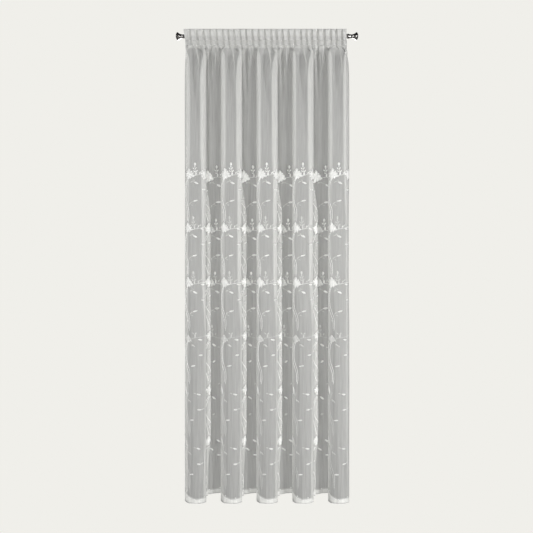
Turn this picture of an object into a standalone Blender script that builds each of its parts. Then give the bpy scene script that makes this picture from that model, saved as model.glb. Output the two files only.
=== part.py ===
"""Sheer voile curtain, gathered on a heading tape, hung on a round metal rod with trumpet finials.

Metres, +Z up. The rod runs along X with its middle at the origin, the front of the curtain faces -Y,
and the cloth hangs down from the rod.
"""

import math

import bmesh
import bpy
import numpy as np

# ---------------------------------------------------------------- sizes (metres)
TOP_Z = 0.029
HEM_Z = -2.472
TAPE_BOTTOM_Z = -0.067
CLOTH_T = 0.0012         # thickness of the cloth as a solid
TAPE_T = 0.0010

HEAD_Y = -0.0245
PLEAT_DEPTH = 0.0165
PLEAT_OVERHANG = 0.0042
TOP_EDGE_RISE = 0.0036   # the frill's edge stands higher in the grooves than on the pleats
# Widths of the pencil pleats, in mm, fold by fold from the left edge of the heading.
PLEAT_WIDTHS = (
    (26, 37, 37, 32, 34, 35),
    (30, 29, 32, 31, 32, 34),
    (32, 35, 28, 31, 32, 32),
    (33, 31, 26, 32, 34, 36),
    (30, 28, 27),
)
# Where the edges of each fold's front lie in the heading, in mm from the fold's left edge.
HEAD_LEFT_EDGE, HEAD_RIGHT_EDGE = 12.0, 90.0
STITCH_ROWS = (-0.0315, -0.0585)
HEAD_TOP_LEFT, HEAD_TOP_RIGHT = -0.4415, 0.4234
HEAD_TAPE_LEFT, HEAD_TAPE_RIGHT = -0.4303, 0.4255

FAN_Y = -0.077
FAN = 0.40
UPPER_DEPTH, MIDDLE_DEPTH, LOW_DEPTH, HEM_DEPTH = 0.088, 0.108, 0.110, 0.115
UPPER_TO = -0.60
MIDDLE_FROM, MIDDLE_TO = -1.00, -1.25
LOW_FROM, LOW_TO = -1.60, -2.12
LOWEST_FROM = -2.36

# One fold, from the back panel round the front and back again, at four heights: x in mm from the fold's left
# edge, back is the share of the depth, drop is how much lower the hem hangs there, in mm.
FOLD = (
    # station, upper x, back, middle x, back, low x, back, hem x, back, drop
    ("back panel ends",   16.7, 0.84,   8.3, 0.85,   4.5, 0.86,   4.0, 0.99,  0),
    ("left neck",         25.6, 0.88,  16.7, 0.89,  14.0, 0.91,  15.4, 0.94,  0),
    ("left wall, back",   21.4, 0.78,  14.6, 0.78,  11.0, 0.80,  12.3, 0.82,  0),
    ("left wall, front",   6.3, 0.56,   5.2, 0.56,   4.0, 0.60,   2.6, 0.67,  4),
    ("left edge",          0.0, 0.40,   0.0, 0.40,   0.0, 0.48,   0.0, 0.52,  8),
    ("left shoulder",      3.7, 0.24,   2.6, 0.24,   3.6, 0.36,   4.7, 0.38,  9),
    ("front, left",       17.7, 0.14,  15.6, 0.10,  17.0, 0.25,  18.8, 0.25,  9),
    ("front, middle",     55.3, 0.06,  49.5, 0.00,  51.0, 0.07,  53.2, 0.06, -1),
    ("front, right",      91.8, 0.02,  86.0, 0.06,  84.0, 0.02,  81.4, 0.03, -3),
    ("right shoulder",   106.9, 0.14, 102.2, 0.16, 103.2, 0.18, 102.2, 0.25,  6),
    ("right edge",       110.6, 0.38, 107.4, 0.30, 110.2, 0.36, 110.6, 0.42, 12),
    ("right wall, front", 103.3, 0.56,  99.0, 0.46, 106.0, 0.50, 103.0, 0.56, 11),
    ("right wall, back",  84.5, 0.78,  86.5, 0.64, 102.0, 0.66,  97.0, 0.70,  8),
    ("right neck",        78.7, 0.88, 120.0, 0.81, 119.0, 0.80, 109.0, 0.80,  6),
    ("second edge",       93.0, 0.91, 134.5, 0.87, 135.5, 0.87, 121.0, 0.85,  5),
    ("second tuck",       86.0, 0.96, 115.0, 0.95, 114.0, 0.94, 112.0, 0.91,  4),
    ("back panel starts", 112.0, 1.00, 130.0, 1.00, 132.0, 1.00, 131.0, 0.96, 4),
    ("back panel",       148.1, 0.80, 164.3, 0.84, 164.3, 0.85, 164.3, 1.00,  1),
)
LEFT_END = (("side hem", 2.5, 1.00, 1.0, 1.00, 0.8, 1.00, 0.5, 1.00, 0),)
RIGHT_END = (
    ("right wall, front", 103.3, 0.56, 105.3, 0.50, 106.5, 0.53, 107.4, 0.56, 6),
    ("right wall, back",   84.5, 0.78,  97.0, 0.70,  99.5, 0.70, 102.2, 0.70, 4),
    ("right neck",         80.3, 0.92,  91.8, 0.85,  95.5, 0.85,  99.1, 0.85, 3),
    ("side hem",           93.9, 1.00,  99.1, 0.95, 100.5, 0.95, 101.7, 0.95, 2),
)
EDGES = (
    # left edge, tuck
    (-0.4275, 1.00),
    (-0.2405, 0.98),
    (-0.0543, 0.88),
    (0.1324, 0.76),
    (0.3185, 0.88),
)
RIGHT_EDGE = [row[0] for row in FOLD].index("right edge")
LEFT_WALL = ("back panel ends", "left neck", "left wall, back", "left wall, front")

TAPE_END = (
    # z, y
    (0.0250, -0.0128),
    (0.0180, -0.0118),
    (0.0135, 0.0000),
    (0.0040, 0.0122),
    (-0.0070, 0.0120),
    (-0.0175, 0.0010),
    (-0.0290, -0.0100),
    (-0.0450, -0.0128),
    (TAPE_BOTTOM_Z, -0.0130),
)
TAPE_HALF = 0.420
TAPE_RIPPLE = 0.0016

# Heights of the rows of the cloth, from the frill to the hem.
CLOTH_ROWS = (TOP_Z, 0.004, -0.020, -0.045, TAPE_BOTTOM_Z, -0.084, -0.110, -0.150, -0.220, -0.350,
              UPPER_TO, MIDDLE_FROM, MIDDLE_TO, LOW_FROM, LOW_TO, LOWEST_FROM, HEM_Z)
COLUMNS_PER_PLEAT = 4    # besides those at the stations of the folds
NEAREST_COLUMNS = 0.0026 # share of the width

ROD_DIAMETER = 0.019
FINIAL_BASE_X = 0.4311   # where each finial's collar starts
SOCKET_DEPTH = 0.0115
SOCKET_DIAMETER = 0.0198
ROD_IN_SOCKET = 0.0100
# The finial's outline from its collar to the top of its dome: distance along the rod, radius.
FINIAL_OUTLINE = (
    # along, radius
    (0.0000, 0.0118),
    (0.0010, 0.0126),
    (0.0060, 0.0126),
    (0.0072, 0.0117),
    (0.0120, 0.0106),
    (0.0170, 0.0097),
    (0.0215, 0.0094),
    (0.0270, 0.0098),
    (0.0330, 0.0112),
    (0.0385, 0.0134),
    (0.0430, 0.0162),
    (0.0462, 0.0190),
    (0.0478, 0.0205),
    (0.0490, 0.0208),
    (0.0500, 0.0205),
    (0.0520, 0.0188),
    (0.0550, 0.0150),
    (0.0572, 0.0100),
    (0.0583, 0.0050),
    (0.0586, 0.0000),
)
FINIAL_SIDES = 40


# ---------------------------------------------------------------- the cloth's surface
def smooth(t):
    t = np.clip(t, 0.0, 1.0)
    return t * t * (3 - 2 * t)


def level_weights(z):
    middle = smooth((UPPER_TO - z) / (UPPER_TO - MIDDLE_FROM))
    low = smooth((MIDDLE_TO - z) / (MIDDLE_TO - LOW_FROM))
    hem = smooth((LOW_TO - z) / (LOW_TO - LOWEST_FROM))
    return 1 - middle, middle * (1 - low), middle * low * (1 - hem), middle * low * hem


def fold_stations(z):
    weights = np.array(level_weights(z))
    depth = float(weights @ (UPPER_DEPTH, MIDDLE_DEPTH, LOW_DEPTH, HEM_DEPTH))
    out = []

    def add(edge, tuck, row):
        x = float(weights @ row[1:9:2]) / 1000
        back = float(weights @ row[2:9:2])
        if row[0] in LEFT_WALL:
            x *= tuck
        y = HEAD_Y + (back - 0.5) * depth
        x = (edge + x) * (1 + FAN * (y - FAN_Y))
        out.append((x, y, row[9] / 1000))

    for number, (edge, tuck) in enumerate(EDGES):
        if number == 0:
            for row in LEFT_END:
                add(edge, 1.0, row)
        last = number == len(EDGES) - 1
        for row in FOLD[:RIGHT_EDGE + 1] if last else FOLD:
            add(edge, tuck, row)
        if last:
            for row in RIGHT_END:
                add(edge, 1.0, row)
    return np.array(out)


STEPS = 14
STATION = {row[0]: i for i, row in enumerate(FOLD)}


def rounded(points, steps=STEPS):
    first = 2 * points[0] - points[1]
    last = 2 * points[-1] - points[-2]
    p = np.vstack([first, points, last])
    t = np.linspace(0, 1, steps, endpoint=False)[:, None]
    out = []
    for i in range(1, len(p) - 2):
        a, b, c, d = p[i - 1], p[i], p[i + 1], p[i + 2]
        out.append(0.5 * (2 * b + (c - a) * t + (2 * a - 5 * b + 4 * c - d) * t**2 + (3 * b - a - 3 * c + d) * t**3))
    out.append(p[-2][None, :])
    return np.vstack(out)


def along_share(curve):
    steps = np.hypot(np.diff(curve[:, 0]), np.diff(curve[:, 1]))
    along = np.concatenate([[0], np.cumsum(steps)])
    return along / along[-1], along[-1]


def station_share(along, number, name):
    """The share of the cloth's width at a station of a fold."""
    return float(along[min(len(along) - 1, (len(LEFT_END) + number * len(FOLD) + STATION[name]) * STEPS)])


HEAD_CURVE = rounded(fold_stations(TAPE_BOTTOM_Z))
HEAD_ALONG, _ = along_share(HEAD_CURVE)


def head_map():
    """Shares of the cloth and where they lie across the heading; each fold's front sits over its own pleats."""
    shares, places = [0.0], [HEAD_TAPE_LEFT]
    for number, (edge, _) in enumerate(EDGES):
        last = number == len(EDGES) - 1
        for name, offset in (("left edge", HEAD_LEFT_EDGE), ("right edge", HEAD_RIGHT_EDGE - (12.0 if last else 0.0))):
            shares.append(station_share(HEAD_ALONG, number, name))
            places.append((edge + offset / 1000) * (1 + FAN * (HEAD_Y - FAN_Y)))
    return np.array(shares + [1.0]), np.array(places + [HEAD_TAPE_RIGHT])


HEAD_SHARES, HEAD_PLACES = head_map()
GROOVES = HEAD_TAPE_LEFT + np.cumsum([w for row in PLEAT_WIDTHS for w in row]) / 1000


def pleat_phase(head_x):
    """Whole numbers at the grooves between the pencil pleats."""
    count = len(GROOVES)
    x = np.concatenate([[HEAD_TAPE_LEFT], GROOVES[:-1], [HEAD_TAPE_RIGHT]])
    n = np.concatenate([[0.30], np.arange(1, count), [count - 0.12]])
    return np.interp(head_x, x, n)


def pleat_shape(phase):
    """0 in the grooves, 1 on the broad backs of the pleats."""
    return (0.5 - 0.5 * np.cos(2 * math.pi * phase)) ** 0.62


END_RATE = 0.048         # the cloth's two side edges open slowest


def opening_rate(s, along):
    """How far below the tape the folds have opened: soon at the edges of the fronts, later at their necks."""
    shares, rates = [0.0], [END_RATE]
    for number in range(len(EDGES)):
        last = number == len(EDGES) - 1
        for name, rate in (("left neck", 0.018), ("left edge", 0.012), ("front, middle", 0.030), ("right edge", 0.024)):
            outermost = (number == 0 and name.startswith("left")) or (last and name == "right edge")
            shares.append(station_share(along, number, name))
            rates.append(END_RATE if outermost else rate)
        if not last:
            for name, rate in (("right neck", 0.050), ("second tuck", 0.048), ("back panel", 0.040)):
                shares.append(station_share(along, number, name))
                rates.append(rate)
    return np.interp(s, shares + [1.0], rates + [0.026])


def depth_rate(s, along):
    """How far below the tape the cloth has come to its depth: sooner behind than in front."""
    shares, rates = [0.0], [0.042]
    for number in range(len(EDGES)):
        last = number == len(EDGES) - 1
        for name, rate in (("left neck", 0.042), ("left edge", 0.080), ("front, middle", 0.110), ("right edge", 0.080)):
            shares.append(station_share(along, number, name))
            rates.append(rate)
        if not last:
            for name, rate in (("right neck", 0.042), ("back panel", 0.042)):
                shares.append(station_share(along, number, name))
                rates.append(rate)
    return np.interp(s, shares + [1.0], rates + [0.042])


def pleat_reach(s, along):
    """How far below the tape the pencil pleats run out: soon in the walls of the folds, later in front and behind."""
    shares, reaches = [0.0], [0.016]
    for number in range(len(EDGES)):
        last = number == len(EDGES) - 1
        for name, reach in (
            ("left neck", 0.018), ("left wall, back", 0.012), ("left wall, front", 0.014), ("left edge", 0.030),
            ("front, left", 0.028), ("front, right", 0.028), ("right edge", 0.028),
        ):
            shares.append(station_share(along, number, name))
            reaches.append(reach)
        if not last:
            for name, reach in (
                ("right wall, front", 0.014), ("right wall, back", 0.012), ("right neck", 0.014), ("second edge", 0.016),
                ("second tuck", 0.018), ("back panel starts", 0.026), ("back panel", 0.028),
            ):
                shares.append(station_share(along, number, name))
                reaches.append(reach)
    return np.interp(s, shares + [1.0], reaches + [0.014])


# The long crease that runs down from the heading in every front: its x in mm from the fold's left edge at the
# tape and at 50, 130, 260 and 430 mm below it, how far down it reaches, its half-width and its height towards
# the front, all in mm.
CREASES = (
    # name, side, at tape, at 50, at 130, at 260, at 430, reach, half-width, height
    ("long trough",    "front", 36, 36, 34,  47,  60, 560, 8.6, -15.5),
)
# How strongly each fold shows them, fold by fold.
CREASE_STRENGTH = (1.0, 0.92, 1.05, 0.96, 0.9)


def creases(z, s, x, y, along_here):
    """How far the creases stand out of the cloth along its line at height z."""
    below = TAPE_BOTTOM_Z - z
    out = np.zeros_like(s)
    if below < -0.01:
        return out
    arc = np.concatenate([[0], np.cumsum(np.hypot(np.diff(x), np.diff(y)))])
    view = x / (1 + FAN * (y - FAN_Y))
    for number, (edge, _) in enumerate(EDGES):
        spans = {"front": (station_share(along_here, number, "left edge"), station_share(along_here, number, "right edge"))}
        for k, (_, side, at_tape, at_50, at_130, at_260, at_430, reach, half, height) in enumerate(CREASES):
            fade = 1 - smooth((below * 1000 - 0.35 * reach) / (0.65 * reach))
            if fade <= 0:
                continue
            sway = 1.5 * math.sin(2.3 * number + 1.7 * k)
            path = (at_tape, at_50, at_130, at_260, at_430)
            want = edge + (np.interp(below * 1000, (0, 50, 130, 260, 430), path) + sway) / 1000
            low, high = spans[side]
            inside = np.nonzero((s >= low - 0.012) & (s <= high + 0.012))[0]
            line = np.maximum.accumulate(view[inside])
            place = np.interp(want, line, arc[inside])
            start = smooth((below + 0.010) / (0.075 if k == 0 else 0.022))
            spread = half / 1000 * (1 + 2.0 * below)
            bump = np.exp(-0.5 * ((arc - place) / spread) ** 2)
            out += CREASE_STRENGTH[number] * height / 1000 * fade * start * bump
    return out


def cloth_line(z, shares):
    s = np.asarray(shares, dtype=float)
    up = float(smooth((z - TAPE_BOTTOM_Z) / (TOP_Z - TAPE_BOTTOM_Z)))
    below = max(0.0, TAPE_BOTTOM_Z - z)
    at_tape = np.interp(s, HEAD_SHARES, HEAD_PLACES)
    phase = pleat_phase(at_tape)
    lean = (HEAD_TOP_LEFT - HEAD_TAPE_LEFT) * (1 - s) + (HEAD_TOP_RIGHT - HEAD_TAPE_RIGHT) * s
    head_x = at_tape + lean * up

    curve = rounded(fold_stations(min(z, TAPE_BOTTOM_Z)))
    along, _ = along_share(curve)
    fold_x, fold_y, drop = (np.interp(s, along, curve[:, k]) for k in range(3))
    rate = opening_rate(s, along)
    opened = 1 - np.exp(-((below / rate) ** 1.3))
    deeper = 1 - np.exp(-((below / depth_rate(s, along)) ** 1.25))
    x = head_x * (1 - opened) + fold_x * opened
    y = HEAD_Y * (1 - deeper) + fold_y * deeper

    # Out of the cloth towards the front, and along it to the right.
    tx, ty = np.gradient(x, s), np.gradient(y, s)
    size = np.maximum(np.hypot(tx, ty), 1e-9)
    tx, ty = tx / size, ty / size
    fade = np.exp(-((below / pleat_reach(s, along)) ** 1.2))
    sewn = sum(math.exp(-(((z - row) / 0.0035) ** 2)) for row in STITCH_ROWS)
    swell = 1 + 0.30 * math.exp(-(((below - 0.013) / 0.012) ** 2)) if below > 0 else 1.0
    depth = PLEAT_DEPTH * fade * swell * (1 - 0.42 * sewn) * (1 - 0.50 * float(smooth((z - 0.008) / 0.019)))
    out = (pleat_shape(phase) - 0.5) * depth
    out += creases(z, s, x, y, along)
    side = PLEAT_OVERHANG * fade * np.sin(4 * math.pi * phase) * smooth(s / 0.012) * smooth((1 - s) / 0.012)
    x = x + ty * out + tx * side
    y = y - tx * out + ty * side
    near_hem = float(smooth((-2.30 - z) / 0.17))
    edge = TOP_EDGE_RISE * (0.5 - pleat_shape(phase)) * float(smooth((z - 0.008) / 0.021))
    return np.column_stack([x, y, z - drop * near_hem + edge])

def station_shares(z):
    """The share of the cloth's width at every station of the folds, at a height."""
    along, _ = along_share(rounded(fold_stations(min(z, TAPE_BOTTOM_Z))))
    return along[::STEPS]


def column_shares():
    """The columns of the solid, as shares of the width at the tape: one at every station, more along the pleats."""
    count = len(GROOVES)
    x = np.concatenate([[HEAD_TAPE_LEFT], GROOVES[:-1], [HEAD_TAPE_RIGHT]])
    phase = pleat_phase(x)
    wanted = np.arange(1, count * COLUMNS_PER_PLEAT) / COLUMNS_PER_PLEAT
    along_pleats = np.interp(np.interp(wanted, phase, x), HEAD_PLACES, HEAD_SHARES)
    columns = list(station_shares(TAPE_BOTTOM_Z))
    for share in along_pleats:
        if min(abs(share - taken) for taken in columns) > NEAREST_COLUMNS:
            columns.append(share)
    return np.array(sorted(columns))


FINE = np.linspace(0, 1, 1561)


def cloth_row(z, columns):
    """A row of the solid's middle surface; its columns follow the stations of the folds down the cloth."""
    shares = np.interp(columns, station_shares(TAPE_BOTTOM_Z), station_shares(z))
    line = cloth_line(z, FINE)
    return np.column_stack([np.interp(shares, FINE, line[:, k]) for k in range(3)])


# ---------------------------------------------------------------- meshes
def directions(grid, axis):
    """Along the grid at each point, halfway between the ways in and out."""
    step = np.diff(grid, axis=axis)
    step /= np.linalg.norm(step, axis=2)[:, :, None]
    first, last = np.take(step, [0], axis=axis), np.take(step, [-1], axis=axis)
    return np.concatenate([first, step], axis=axis) + np.concatenate([step, last], axis=axis)


def sheet_solid(name, rows, thickness):
    """A closed solid of even thickness around a grid of points, rows by columns."""
    grid = np.array(rows)
    du, dv = directions(grid, 1), directions(grid, 0)
    normal = np.cross(dv, du)
    normal /= np.linalg.norm(normal, axis=2)[:, :, None]
    front, back = grid + normal * thickness / 2, grid - normal * thickness / 2
    high, wide = grid.shape[:2]
    verts = np.vstack([front.reshape(-1, 3), back.reshape(-1, 3)])
    count = high * wide

    def f(i, j):
        return i * wide + j

    faces = []
    for i in range(high - 1):
        for j in range(wide - 1):
            a, b, c, d = f(i, j), f(i, j + 1), f(i + 1, j + 1), f(i + 1, j)
            # Both sides are split along the same, shorter diagonal.
            if np.linalg.norm(grid[i, j] - grid[i + 1, j + 1]) > np.linalg.norm(grid[i, j + 1] - grid[i + 1, j]):
                a, b, c, d = b, c, d, a
            faces += [(a, b, c), (a, c, d), (count + c, count + b, count + a), (count + d, count + c, count + a)]
    border = [f(0, j) for j in range(wide)] + [f(i, wide - 1) for i in range(1, high)]
    border += [f(high - 1, j) for j in range(wide - 2, -1, -1)] + [f(i, 0) for i in range(high - 2, 0, -1)]
    for k, a in enumerate(border):
        b = border[(k + 1) % len(border)]
        faces.append((b, a, count + a, count + b))
    return mesh_object(name, verts.tolist(), faces)


def mesh_object(name, verts, faces):
    mesh = bpy.data.meshes.new(name)
    mesh.from_pydata(verts, [], faces)
    work = bmesh.new()
    work.from_mesh(mesh)
    bmesh.ops.recalc_face_normals(work, faces=work.faces)
    for face in work.faces:
        face.smooth = True
    work.to_mesh(mesh)
    work.free()
    thing = bpy.data.objects.new(name, mesh)
    bpy.context.scene.collection.objects.link(thing)
    return thing


def material(name, colour, roughness, metallic):
    mat = bpy.data.materials.new(name)
    mat.use_nodes = True
    shader = mat.node_tree.nodes["Principled BSDF"]
    shader.inputs["Base Color"].default_value = (*colour, 1)
    shader.inputs["Roughness"].default_value = roughness
    shader.inputs["Metallic"].default_value = metallic
    mat.diffuse_color = (*colour, 1)
    return mat


def build_panel():
    columns = column_shares()
    return sheet_solid("curtain_panel", [cloth_row(z, columns) for z in CLOTH_ROWS], CLOTH_T)


def build_tape():
    across = np.linspace(0, 1, len(GROOVES) * 2 + 1)
    rows = []
    for z, y in TAPE_END:
        x = -TAPE_HALF + 2 * TAPE_HALF * across
        ripple = TAPE_RIPPLE * (0.5 - 0.5 * np.cos(math.pi * np.arange(len(across))))
        rows.append(np.column_stack([x, y + ripple - TAPE_RIPPLE / 2, np.full(len(across), z)]))
    return sheet_solid("heading_tape", rows, TAPE_T)


def build_rod():
    bpy.ops.mesh.primitive_cylinder_add(
        vertices=48, radius=ROD_DIAMETER / 2, depth=2 * (FINIAL_BASE_X + ROD_IN_SOCKET), location=(0, 0, 0),
        rotation=(0, math.pi / 2, 0),
    )
    rod = bpy.context.object
    rod.name = rod.data.name = "rod"
    for face in rod.data.polygons:
        face.use_smooth = len(face.vertices) == 4
    return rod


def build_finial(name):
    """Turned about its own X: the outline outside, a blind socket for the rod inside the collar."""
    socket = SOCKET_DIAMETER / 2
    outline = [(SOCKET_DEPTH, 0.0), (SOCKET_DEPTH, socket), (0.0, socket)] + list(FINIAL_OUTLINE)
    verts, rings = [], []
    for along, radius in outline:
        if radius == 0:
            rings.append([len(verts)])
            verts.append((along, 0, 0))
            continue
        ring = []
        for k in range(FINIAL_SIDES):
            turn = 2 * math.pi * k / FINIAL_SIDES
            ring.append(len(verts))
            verts.append((along, radius * math.cos(turn), radius * math.sin(turn)))
        rings.append(ring)
    faces = []
    for a, b in zip(rings, rings[1:]):
        for k in range(FINIAL_SIDES):
            n = (k + 1) % FINIAL_SIDES
            if len(a) == 1:
                faces.append((a[0], b[k], b[n]))
            elif len(b) == 1:
                faces.append((a[k], a[n], b[0]))
            else:
                faces.append((a[k], a[n], b[n], b[k]))
    finial = mesh_object(name, verts, faces)
    for face in finial.data.polygons[: 2 * FINIAL_SIDES]:
        face.use_smooth = False
    return finial


def main():
    for thing in list(bpy.data.objects):
        bpy.data.objects.remove(thing, do_unlink=True)
    voile = material("voile", (0.72, 0.72, 0.70), 0.85, 0.0)
    tape = material("tape", (0.69, 0.69, 0.67), 0.80, 0.0)
    steel = material("rod_steel", (0.42, 0.41, 0.40), 0.28, 1.0)
    polished = material("finial_metal", (0.40, 0.39, 0.38), 0.18, 1.0)

    panel = build_panel()
    panel.data.materials.append(voile)
    band = build_tape()
    band.data.materials.append(tape)
    rod = build_rod()
    rod.data.materials.append(steel)
    for name, side in (("finial_left", -1), ("finial_right", 1)):
        finial = build_finial(name)
        finial.location = (side * FINIAL_BASE_X, 0, 0)
        finial.rotation_euler = (0, 0, math.pi if side < 0 else 0)
        finial.data.materials.append(polished)


main()
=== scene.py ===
"""Sheer voile curtain with embroidered leaf sprigs, gathered on its tape over a round metal rod.

Metres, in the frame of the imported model: the rod runs along X with its middle at the origin, the front of
the curtain faces -Y, and the cloth hangs down.
"""

import math

import bpy
import numpy as np
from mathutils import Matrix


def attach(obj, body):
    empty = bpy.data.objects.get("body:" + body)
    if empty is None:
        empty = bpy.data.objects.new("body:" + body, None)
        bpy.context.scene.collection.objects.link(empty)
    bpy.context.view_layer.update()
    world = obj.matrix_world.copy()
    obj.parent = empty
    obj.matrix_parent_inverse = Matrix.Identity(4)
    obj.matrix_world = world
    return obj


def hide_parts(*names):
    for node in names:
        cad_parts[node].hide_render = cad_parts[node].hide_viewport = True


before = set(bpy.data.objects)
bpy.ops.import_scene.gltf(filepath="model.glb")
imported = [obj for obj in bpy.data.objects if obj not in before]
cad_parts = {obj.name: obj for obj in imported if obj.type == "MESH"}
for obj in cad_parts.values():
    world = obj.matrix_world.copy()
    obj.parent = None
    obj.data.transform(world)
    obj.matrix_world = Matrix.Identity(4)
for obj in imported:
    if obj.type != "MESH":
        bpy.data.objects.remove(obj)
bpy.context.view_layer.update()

# ---------------------------------------------------------------- sizes (metres)
TOP_Z = 0.029
HEM_Z = -2.472
TAPE_BOTTOM_Z = -0.067
FLOOR_Z = -2.500

HEAD_Y = -0.0245
PLEAT_DEPTH = 0.0165
PLEAT_OVERHANG = 0.0042
TOP_EDGE_RISE = 0.0036   # the frill's edge stands higher in the grooves than on the pleats
# Widths of the pencil pleats, in mm, fold by fold from the left edge of the heading.
PLEAT_WIDTHS = (
    (26, 37, 37, 32, 34, 35),
    (30, 29, 32, 31, 32, 34),
    (32, 35, 28, 31, 32, 32),
    (33, 31, 26, 32, 34, 36),
    (30, 28, 27),
)
# Where the edges of each fold's front lie in the heading, in mm from the fold's left edge.
HEAD_LEFT_EDGE, HEAD_RIGHT_EDGE = 12.0, 90.0
STITCH_ROWS = (-0.0315, -0.0585)
HEAD_TOP_LEFT, HEAD_TOP_RIGHT = -0.4415, 0.4234
HEAD_TAPE_LEFT, HEAD_TAPE_RIGHT = -0.4303, 0.4255

FAN_Y = -0.077
FAN = 0.40
UPPER_DEPTH, MIDDLE_DEPTH, LOW_DEPTH, HEM_DEPTH = 0.088, 0.108, 0.110, 0.115
UPPER_TO = -0.60
MIDDLE_FROM, MIDDLE_TO = -1.00, -1.25
LOW_FROM, LOW_TO = -1.60, -2.12
LOWEST_FROM = -2.36

HEM_DEEP = 0.024         # finished depth of the bottom hem
SIDE_HEM = 0.018         # turned in at both sides
HEAD_TURN = 0.026        # turned over to the back at the top, under the tape
LAYER = 0.0005           # between two layers of voile

# One fold, from the back panel round the front and back again, at four heights: x in mm from the fold's left
# edge, back is the share of the depth, drop is how much lower the hem hangs there, in mm.
FOLD = (
    # station, upper x, back, middle x, back, low x, back, hem x, back, drop
    ("back panel ends",   16.7, 0.84,   8.3, 0.85,   4.5, 0.86,   4.0, 0.99,  0),
    ("left neck",         25.6, 0.88,  16.7, 0.89,  14.0, 0.91,  15.4, 0.94,  0),
    ("left wall, back",   21.4, 0.78,  14.6, 0.78,  11.0, 0.80,  12.3, 0.82,  0),
    ("left wall, front",   6.3, 0.56,   5.2, 0.56,   4.0, 0.60,   2.6, 0.67,  4),
    ("left edge",          0.0, 0.40,   0.0, 0.40,   0.0, 0.48,   0.0, 0.52,  8),
    ("left shoulder",      3.7, 0.24,   2.6, 0.24,   3.6, 0.36,   4.7, 0.38,  9),
    ("front, left",       17.7, 0.14,  15.6, 0.10,  17.0, 0.25,  18.8, 0.25,  9),
    ("front, middle",     55.3, 0.06,  49.5, 0.00,  51.0, 0.07,  53.2, 0.06, -1),
    ("front, right",      91.8, 0.02,  86.0, 0.06,  84.0, 0.02,  81.4, 0.03, -3),
    ("right shoulder",   106.9, 0.14, 102.2, 0.16, 103.2, 0.18, 102.2, 0.25,  6),
    ("right edge",       110.6, 0.38, 107.4, 0.30, 110.2, 0.36, 110.6, 0.42, 12),
    ("right wall, front", 103.3, 0.56,  99.0, 0.46, 106.0, 0.50, 103.0, 0.56, 11),
    ("right wall, back",  84.5, 0.78,  86.5, 0.64, 102.0, 0.66,  97.0, 0.70,  8),
    ("right neck",        78.7, 0.88, 120.0, 0.81, 119.0, 0.80, 109.0, 0.80,  6),
    ("second edge",       93.0, 0.91, 134.5, 0.87, 135.5, 0.87, 121.0, 0.85,  5),
    ("second tuck",       86.0, 0.96, 115.0, 0.95, 114.0, 0.94, 112.0, 0.91,  4),
    ("back panel starts", 112.0, 1.00, 130.0, 1.00, 132.0, 1.00, 131.0, 0.96, 4),
    ("back panel",       148.1, 0.80, 164.3, 0.84, 164.3, 0.85, 164.3, 1.00,  1),
)
LEFT_END = (("side hem", 2.5, 1.00, 1.0, 1.00, 0.8, 1.00, 0.5, 1.00, 0),)
RIGHT_END = (
    ("right wall, front", 103.3, 0.56, 105.3, 0.50, 106.5, 0.53, 107.4, 0.56, 6),
    ("right wall, back",   84.5, 0.78,  97.0, 0.70,  99.5, 0.70, 102.2, 0.70, 4),
    ("right neck",         80.3, 0.92,  91.8, 0.85,  95.5, 0.85,  99.1, 0.85, 3),
    ("side hem",           93.9, 1.00,  99.1, 0.95, 100.5, 0.95, 101.7, 0.95, 2),
)
EDGES = (
    # left edge, tuck
    (-0.4275, 1.00),
    (-0.2405, 0.98),
    (-0.0543, 0.88),
    (0.1324, 0.76),
    (0.3185, 0.88),
)
RIGHT_EDGE = [row[0] for row in FOLD].index("right edge")
LEFT_WALL = ("back panel ends", "left neck", "left wall, back", "left wall, front")

TAPE_END = (
    # z, y
    (0.0250, -0.0128),
    (0.0180, -0.0118),
    (0.0135, 0.0000),
    (0.0040, 0.0122),
    (-0.0070, 0.0120),
    (-0.0175, 0.0010),
    (-0.0290, -0.0100),
    (-0.0450, -0.0128),
    (TAPE_BOTTOM_Z, -0.0130),
)
TAPE_HALF = 0.420
TAPE_RIPPLE = 0.0016

# The camera: level, 2.5 m in front of the folds, as high as the middle of the curtain.
CAMERA = (-0.0027, FAN_Y - 2.5, -1.1058)
METRES_PER_PIXEL = 0.005215
AXIS_PIXEL = 242.0       # the image row at the camera's height


# ---------------------------------------------------------------- the cloth's surface
def smooth(t):
    t = np.clip(t, 0.0, 1.0)
    return t * t * (3 - 2 * t)


def level_weights(z):
    middle = smooth((UPPER_TO - z) / (UPPER_TO - MIDDLE_FROM))
    low = smooth((MIDDLE_TO - z) / (MIDDLE_TO - LOW_FROM))
    hem = smooth((LOW_TO - z) / (LOW_TO - LOWEST_FROM))
    return 1 - middle, middle * (1 - low), middle * low * (1 - hem), middle * low * hem


def fold_stations(z):
    weights = np.array(level_weights(z))
    depth = float(weights @ (UPPER_DEPTH, MIDDLE_DEPTH, LOW_DEPTH, HEM_DEPTH))
    out = []

    def add(edge, tuck, row):
        x = float(weights @ row[1:9:2]) / 1000
        back = float(weights @ row[2:9:2])
        if row[0] in LEFT_WALL:
            x *= tuck
        y = HEAD_Y + (back - 0.5) * depth
        x = (edge + x) * (1 + FAN * (y - FAN_Y))
        out.append((x, y, row[9] / 1000))

    for number, (edge, tuck) in enumerate(EDGES):
        if number == 0:
            for row in LEFT_END:
                add(edge, 1.0, row)
        last = number == len(EDGES) - 1
        for row in FOLD[:RIGHT_EDGE + 1] if last else FOLD:
            add(edge, tuck, row)
        if last:
            for row in RIGHT_END:
                add(edge, 1.0, row)
    return np.array(out)


STEPS = 14
STATION = {row[0]: i for i, row in enumerate(FOLD)}


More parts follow.
